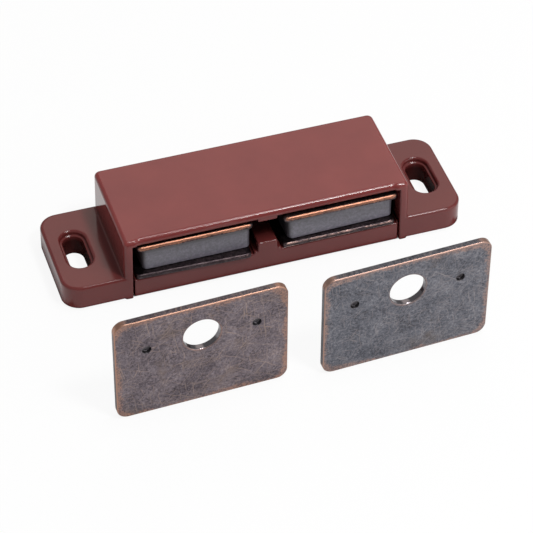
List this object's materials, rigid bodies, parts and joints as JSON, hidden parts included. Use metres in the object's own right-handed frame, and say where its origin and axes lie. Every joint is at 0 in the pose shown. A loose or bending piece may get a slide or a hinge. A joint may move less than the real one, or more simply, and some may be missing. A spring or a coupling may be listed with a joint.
{
  "type": "magnetic catch",
  "caption": "Double magnetic cupboard catch with floating magnet units, slotted mounting ears and loose strike plates for a pair of doors.",
  "frame": {"origin": "centre of the mounting face, under the middle of the case", "axes": "+X along the catch from ear to ear, +Y from the pole faces towards the back of the case, +Z off the mounting face"},
  "size_m": [0.0874, 0.0566, 0.0254],
  "materials": {
    "brown_plastic": "moulded, glossy",
    "pole_steel": "antique copper plate over steel, worn bright on the edges",
    "ferrite": "pressed and ground ferrite",
    "strike_steel": "antique copper plate over steel, mottled, finely scratched"
  },
  "bodies": {
    "case": {"case": "brown_plastic", "base_insert": "brown_plastic"},
    "magnet_unit_left": {"upper_pole_plate_left": "pole_steel", "lower_pole_plate_left": "pole_steel", "magnet_left": "ferrite"},
    "magnet_unit_right": {"upper_pole_plate_right": "pole_steel", "lower_pole_plate_right": "pole_steel", "magnet_right": "ferrite"},
    "strike_left": {"strike_plate_left": "strike_steel"},
    "strike_right": {"strike_plate_right": "strike_steel"}
  },
  "joints": [
    {"name": "float_left", "type": "slide", "parent": "case", "child": "magnet_unit_left", "axis": [0, 1, 0], "range_m": [-0.0001, 0.0006]},
    {"name": "float_right", "type": "slide", "parent": "case", "child": "magnet_unit_right", "axis": [0, 1, 0], "range_m": [-0.0003, 0.0007]},
    {"name": "close_left", "type": "hinge", "parent": "case", "child": "strike_left", "pos_m": [0.80941, -0.01275, 0.0127], "axis": [0, 0, -1], "range_deg": [0, 2]},
    {"name": "close_right", "type": "hinge", "parent": "case", "child": "strike_right", "pos_m": [0.64415, -0.01275, 0.0127], "axis": [0, 0, -1], "range_deg": [0, 2.7]}
  ]
}
